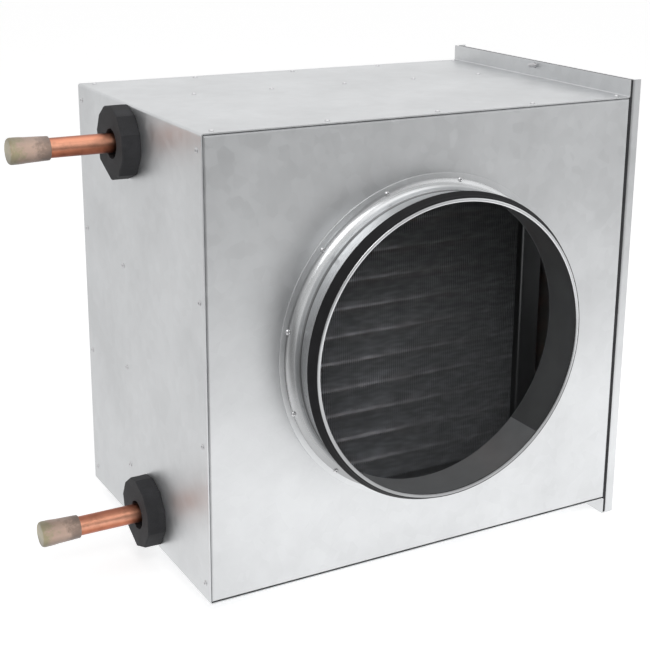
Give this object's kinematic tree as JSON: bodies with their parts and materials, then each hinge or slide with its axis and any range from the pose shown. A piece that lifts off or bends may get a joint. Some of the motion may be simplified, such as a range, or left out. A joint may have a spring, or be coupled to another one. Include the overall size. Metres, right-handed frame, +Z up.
{
  "type": "hot water coil",
  "caption": "Duct heater: a square galvanised casing with round lip-sealed spigots, a finned copper coil inside, side pipes with foam rings, and an end cover.",
  "frame": {"origin": "centre of the front spigot's mouth, on the duct axis", "axes": "+X to the right towards the inspection cover, +Y along the duct from the front spigot to the rear one, +Z up"},
  "size_m": [0.5035, 0.346, 0.4028],
  "materials": {
    "galvanised_sheet": "hot-dip galvanised sheet, faint spangle",
    "spigot_sheet": "bright galvanised sheet, rolled",
    "rivet": "bright rivet heads",
    "screw": "zinc plated",
    "seal_rubber": "matt black",
    "gasket_foam": "black cellular foam",
    "foam_ring": "black cut foam",
    "copper": "drawn copper tube",
    "fins": "plain aluminium fin",
    "cap_plastic": "translucent soft plastic"
  },
  "bodies": {
    "unit": {"casing_wrap": "galvanised_sheet", "front_panel": "galvanised_sheet", "rear_panel": "galvanised_sheet", "front_spigot": "spigot_sheet", "rear_spigot": "spigot_sheet", "front_duct_seal": "seal_rubber", "rear_duct_seal": "seal_rubber", "fin_pack": "fins", "hairpin_tubes": "copper", "supply_header": "copper", "return_header": "copper", "supply_pipe": "copper", "return_pipe": "copper", "header_end_plate": "galvanised_sheet", "bend_end_plate": "galvanised_sheet", "coil_top_plate": "galvanised_sheet", "coil_bottom_plate": "galvanised_sheet", "header_baffle": "galvanised_sheet", "supply_foam_ring": "foam_ring", "return_foam_ring": "foam_ring", "front_panel_rivets": "rivet", "rear_panel_rivets": "rivet", "coil_frame_rivets": "rivet", "front_spigot_rivets": "rivet", "rear_spigot_rivets": "rivet"},
    "cover": {"inspection_cover": "galvanised_sheet", "cover_gasket": "gasket_foam", "cover_screws": "screw"},
    "supply_cap": {"supply_pipe_cap": "cap_plastic"},
    "return_cap": {"return_pipe_cap": "cap_plastic"}
  },
  "joints": [
    {"name": "cover_pull", "type": "slide", "parent": "unit", "child": "cover", "axis": [1, 0, 0], "range_m": [0, 0.12]},
    {"name": "supply_cap_pull", "type": "slide", "parent": "unit", "child": "supply_cap", "axis": [-1, 0, 0], "range_m": [0, 0.15]},
    {"name": "return_cap_pull", "type": "slide", "parent": "unit", "child": "return_cap", "axis": [-1, 0, 0], "range_m": [0, 0.15]}
  ]
}
